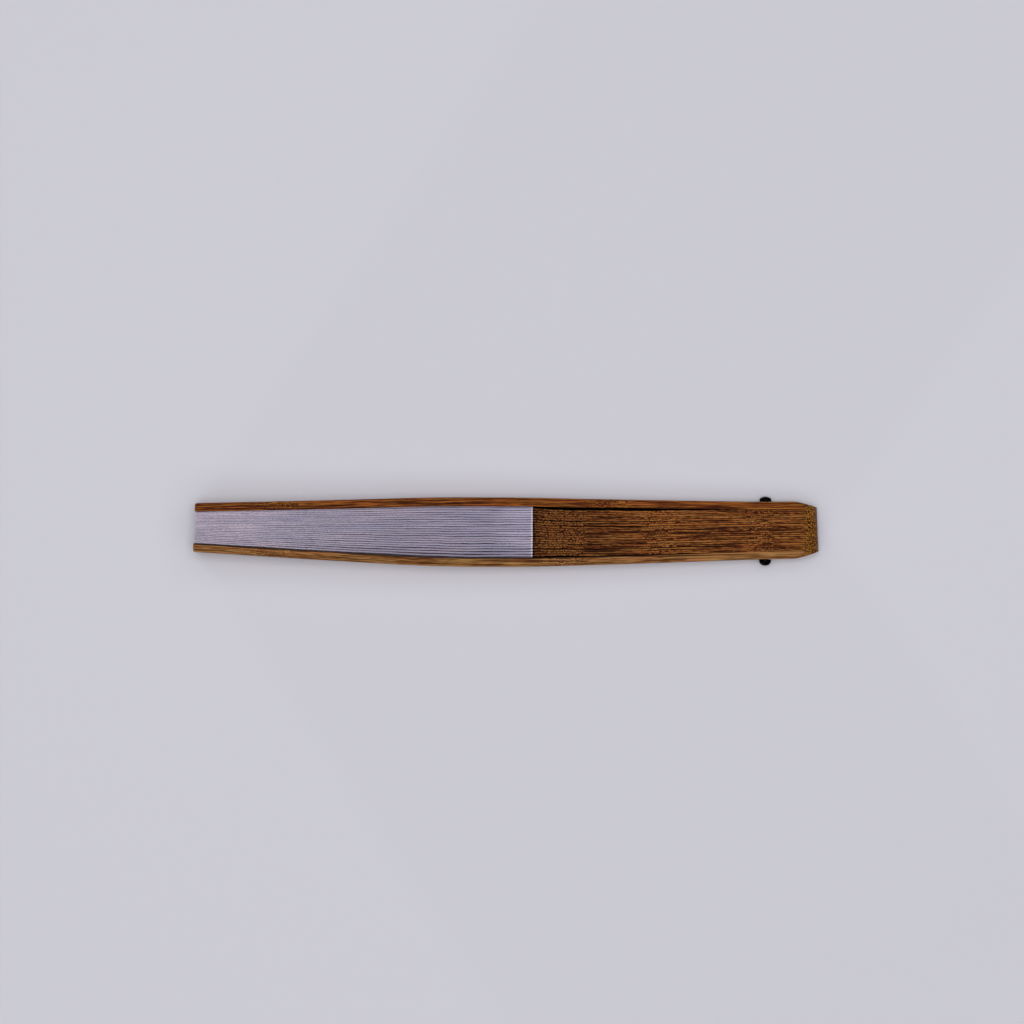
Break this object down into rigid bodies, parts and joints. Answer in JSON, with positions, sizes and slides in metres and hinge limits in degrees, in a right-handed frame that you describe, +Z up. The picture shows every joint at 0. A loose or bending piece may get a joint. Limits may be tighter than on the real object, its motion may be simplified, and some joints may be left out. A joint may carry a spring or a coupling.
{
  "type": "folding fan",
  "caption": "Closed folding hand fan of bamboo: a pleated paper leaf and thin ribs between two bowed guards, turning on one rivet.",
  "frame": {"origin": "on the ground under the middle of the closed fan's box", "axes": "+X along the fan towards its head and rivet, +Y along the rivet towards the back guard, +Z up, across the fan's width"},
  "size_m": [0.2258, 0.0258, 0.0165],
  "materials": {
    "front_bamboo": "satin",
    "back_bamboo": "satin",
    "rib_bamboo": "satin",
    "leaf_paper": "matte",
    "rivet": "gloss"
  },
  "bodies": {
    "front_guard": {"front_guard": "front_bamboo", "pivot_pin": "rivet", "pin_cap": "rivet", "leaf": "leaf_paper"},
    "rib_01": {"rib_01": "rib_bamboo"},
    "rib_02": {"rib_02": "rib_bamboo"},
    "rib_03": {"rib_03": "rib_bamboo"},
    "rib_04": {"rib_04": "rib_bamboo"},
    "rib_05": {"rib_05": "rib_bamboo"},
    "rib_06": {"rib_06": "rib_bamboo"},
    "rib_07": {"rib_07": "rib_bamboo"},
    "rib_08": {"rib_08": "rib_bamboo"},
    "rib_09": {"rib_09": "rib_bamboo"},
    "rib_10": {"rib_10": "rib_bamboo"},
    "rib_11": {"rib_11": "rib_bamboo"},
    "rib_12": {"rib_12": "rib_bamboo"},
    "rib_13": {"rib_13": "rib_bamboo"},
    "rib_14": {"rib_14": "rib_bamboo"},
    "rib_15": {"rib_15": "rib_bamboo"},
    "rib_16": {"rib_16": "rib_bamboo"},
    "rib_17": {"rib_17": "rib_bamboo"},
    "rib_18": {"rib_18": "rib_bamboo"},
    "rib_19": {"rib_19": "rib_bamboo"},
    "rib_20": {"rib_20": "rib_bamboo"},
    "back_guard": {"back_guard": "back_bamboo"}
  },
  "joints": [
    {"name": "rib_01_turn", "type": "hinge", "parent": "front_guard", "child": "rib_01", "pos_m": [0.0936, 0.0007, 0.00481], "axis": [0, 1, 0], "range_deg": [0, 7.5], "deforming": ["leaf"]},
    {"name": "rib_02_turn", "type": "hinge", "parent": "rib_01", "child": "rib_02", "pos_m": [0.0936, 0.0007, 0.00481], "axis": [0, 1, 0], "range_deg": [0, 7.5], "deforming": ["leaf"]},
    {"name": "rib_03_turn", "type": "hinge", "parent": "rib_02", "child": "rib_03", "pos_m": [0.0936, 0.0007, 0.00481], "axis": [0, 1, 0], "range_deg": [0, 7.5], "deforming": ["leaf"]},
    {"name": "rib_04_turn", "type": "hinge", "parent": "rib_03", "child": "rib_04", "pos_m": [0.0936, 0.0007, 0.00481], "axis": [0, 1, 0], "range_deg": [0, 7.5], "deforming": ["leaf"]},
    {"name": "rib_05_turn", "type": "hinge", "parent": "rib_04", "child": "rib_05", "pos_m": [0.0936, 0.0007, 0.00481], "axis": [0, 1, 0], "range_deg": [0, 7.5], "deforming": ["leaf"]},
    {"name": "rib_06_turn", "type": "hinge", "parent": "rib_05", "child": "rib_06", "pos_m": [0.0936, 0.0007, 0.00481], "axis": [0, 1, 0], "range_deg": [0, 7.5], "deforming": ["leaf"]},
    {"name": "rib_07_turn", "type": "hinge", "parent": "rib_06", "child": "rib_07", "pos_m": [0.0936, 0.0007, 0.00481], "axis": [0, 1, 0], "range_deg": [0, 7.5], "deforming": ["leaf"]},
    {"name": "rib_08_turn", "type": "hinge", "parent": "rib_07", "child": "rib_08", "pos_m": [0.0936, 0.0007, 0.00481], "axis": [0, 1, 0], "range_deg": [0, 7.5], "deforming": ["leaf"]},
    {"name": "rib_09_turn", "type": "hinge", "parent": "rib_08", "child": "rib_09", "pos_m": [0.0936, 0.0007, 0.00481], "axis": [0, 1, 0], "range_deg": [0, 7.5], "deforming": ["leaf"]},
    {"name": "rib_10_turn", "type": "hinge", "parent": "rib_09", "child": "rib_10", "pos_m": [0.0936, 0.0007, 0.00481], "axis": [0, 1, 0], "range_deg": [0, 7.5], "deforming": ["leaf"]},
    {"name": "rib_11_turn", "type": "hinge", "parent": "rib_10", "child": "rib_11", "pos_m": [0.0936, 0.0007, 0.00481], "axis": [0, 1, 0], "range_deg": [0, 7.5], "deforming": ["leaf"]},
    {"name": "rib_12_turn", "type": "hinge", "parent": "rib_11", "child": "rib_12", "pos_m": [0.0936, 0.0007, 0.00481], "axis": [0, 1, 0], "range_deg": [0, 7.5], "deforming": ["leaf"]},
    {"name": "rib_13_turn", "type": "hinge", "parent": "rib_12", "child": "rib_13", "pos_m": [0.0936, 0.0007, 0.00481], "axis": [0, 1, 0], "range_deg": [0, 7.5], "deforming": ["leaf"]},
    {"name": "rib_14_turn", "type": "hinge", "parent": "rib_13", "child": "rib_14", "pos_m": [0.0936, 0.0007, 0.00481], "axis": [0, 1, 0], "range_deg": [0, 7.5], "deforming": ["leaf"]},
    {"name": "rib_15_turn", "type": "hinge", "parent": "rib_14", "child": "rib_15", "pos_m": [0.0936, 0.0007, 0.00481], "axis": [0, 1, 0], "range_deg": [0, 7.5], "deforming": ["leaf"]},
    {"name": "rib_16_turn", "type": "hinge", "parent": "rib_15", "child": "rib_16", "pos_m": [0.0936, 0.0007, 0.00481], "axis": [0, 1, 0], "range_deg": [0, 7.5], "deforming": ["leaf"]},
    {"name": "rib_17_turn", "type": "hinge", "parent": "rib_16", "child": "rib_17", "pos_m": [0.0936, 0.0007, 0.00481], "axis": [0, 1, 0], "range_deg": [0, 7.5], "deforming": ["leaf"]},
    {"name": "rib_18_turn", "type": "hinge", "parent": "rib_17", "child": "rib_18", "pos_m": [0.0936, 0.0007, 0.00481], "axis": [0, 1, 0], "range_deg": [0, 7.5], "deforming": ["leaf"]},
    {"name": "rib_19_turn", "type": "hinge", "parent": "rib_18", "child": "rib_19", "pos_m": [0.0936, 0.0007, 0.00481], "axis": [0, 1, 0], "range_deg": [0, 7.5], "deforming": ["leaf"]},
    {"name": "rib_20_turn", "type": "hinge", "parent": "rib_19", "child": "rib_20", "pos_m": [0.0936, 0.0007, 0.00481], "axis": [0, 1, 0], "range_deg": [0, 7.5], "deforming": ["leaf"]},
    {"name": "back_guard_turn", "type": "hinge", "parent": "rib_20", "child": "back_guard", "pos_m": [0.0936, 0.0007, 0.00481], "axis": [0, 1, 0], "range_deg": [0, 7.5], "deforming": ["leaf"]}
  ],
  "couplings": [
    {"joint": "rib_02_turn", "follows": "rib_01_turn", "ratio": 1},
    {"joint": "rib_03_turn", "follows": "rib_01_turn", "ratio": 1},
    {"joint": "rib_04_turn", "follows": "rib_01_turn", "ratio": 1},
    {"joint": "rib_05_turn", "follows": "rib_01_turn", "ratio": 1},
    {"joint": "rib_06_turn", "follows": "rib_01_turn", "ratio": 1},
    {"joint": "rib_07_turn", "follows": "rib_01_turn", "ratio": 1},
    {"joint": "rib_08_turn", "follows": "rib_01_turn", "ratio": 1},
    {"joint": "rib_09_turn", "follows": "rib_01_turn", "ratio": 1},
    {"joint": "rib_10_turn", "follows": "rib_01_turn", "ratio": 1},
    {"joint": "rib_11_turn", "follows": "rib_01_turn", "ratio": 1},
    {"joint": "rib_12_turn", "follows": "rib_01_turn", "ratio": 1},
    {"joint": "rib_13_turn", "follows": "rib_01_turn", "ratio": 1},
    {"joint": "rib_14_turn", "follows": "rib_01_turn", "ratio": 1},
    {"joint": "rib_15_turn", "follows": "rib_01_turn", "ratio": 1},
    {"joint": "rib_16_turn", "follows": "rib_01_turn", "ratio": 1},
    {"joint": "rib_17_turn", "follows": "rib_01_turn", "ratio": 1},
    {"joint": "rib_18_turn", "follows": "rib_01_turn", "ratio": 1},
    {"joint": "rib_19_turn", "follows": "rib_01_turn", "ratio": 1},
    {"joint": "rib_20_turn", "follows": "rib_01_turn", "ratio": 1},
    {"joint": "back_guard_turn", "follows": "rib_01_turn", "ratio": 1}
  ]
}
